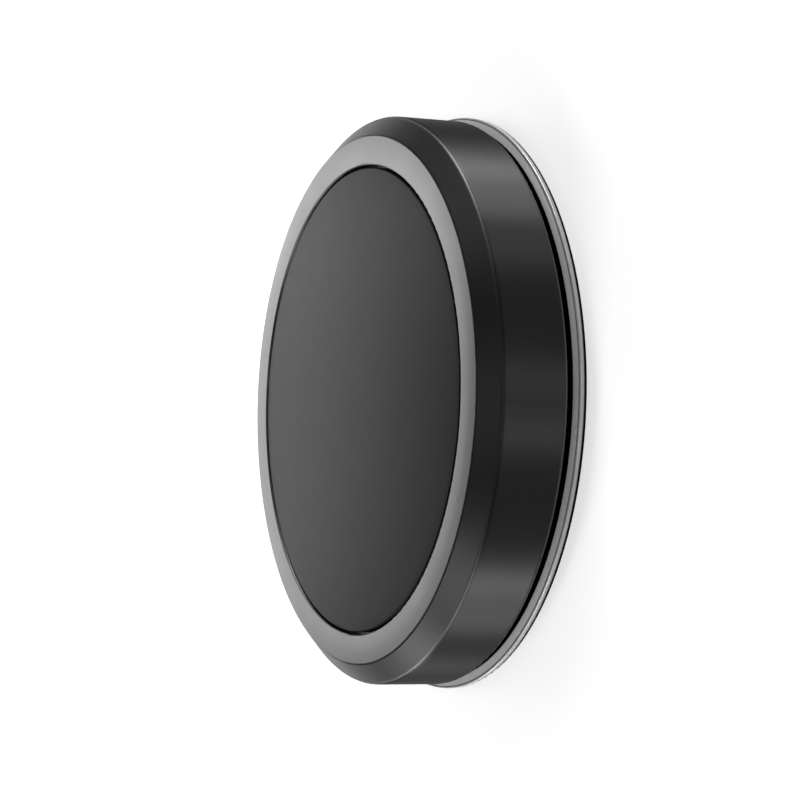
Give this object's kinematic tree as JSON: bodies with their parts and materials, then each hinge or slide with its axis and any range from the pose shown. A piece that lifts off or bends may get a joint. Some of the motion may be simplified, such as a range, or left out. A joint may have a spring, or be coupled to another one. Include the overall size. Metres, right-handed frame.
{
  "type": "magnetic phone holder",
  "caption": "Round stick-on magnetic phone holder: a chamfered metal puck with a soft pad inside a crowned ring, on a base with adhesive foam.",
  "frame": {"origin": "centre of the back, on the release liner that covers the adhesive foam", "axes": "+Z out of the front pad along the axis of the puck; X and Y across it, with magnet_1 on +X"},
  "size_m": [0.0406, 0.0406, 0.0083],
  "materials": {
    "housing_metal": "dark gun-metal grey coating with a low satin gloss",
    "soft_pad": "matt dark grey soft-touch silicone",
    "bond_film": "thin pale double-sided film",
    "moulded_black": "black moulded plastic",
    "magnet_plating": "bright nickel plating",
    "keeper_steel": "zinc-plated mild steel",
    "base_moulding": "dark grey glossy moulding",
    "screw_steel": "dark plated steel",
    "adhesive_foam": "black closed-cell adhesive foam",
    "liner_paper": "pale silicone-coated liner paper"
  },
  "bodies": {
    "root": {"housing": "housing_metal", "face_pad": "soft_pad", "pad_film": "bond_film", "magnet_carrier": "moulded_black", "magnet_1": "magnet_plating", "magnet_2": "magnet_plating", "magnet_3": "magnet_plating", "magnet_4": "magnet_plating", "magnet_5": "magnet_plating", "magnet_6": "magnet_plating", "magnet_7": "magnet_plating", "magnet_8": "magnet_plating", "keeper_plate": "keeper_steel", "base": "base_moulding", "screw_1": "screw_steel", "screw_2": "screw_steel", "screw_3": "screw_steel", "screw_4": "screw_steel", "foam_tape": "adhesive_foam", "release_liner": "liner_paper"}
  },
  "joints": []
}
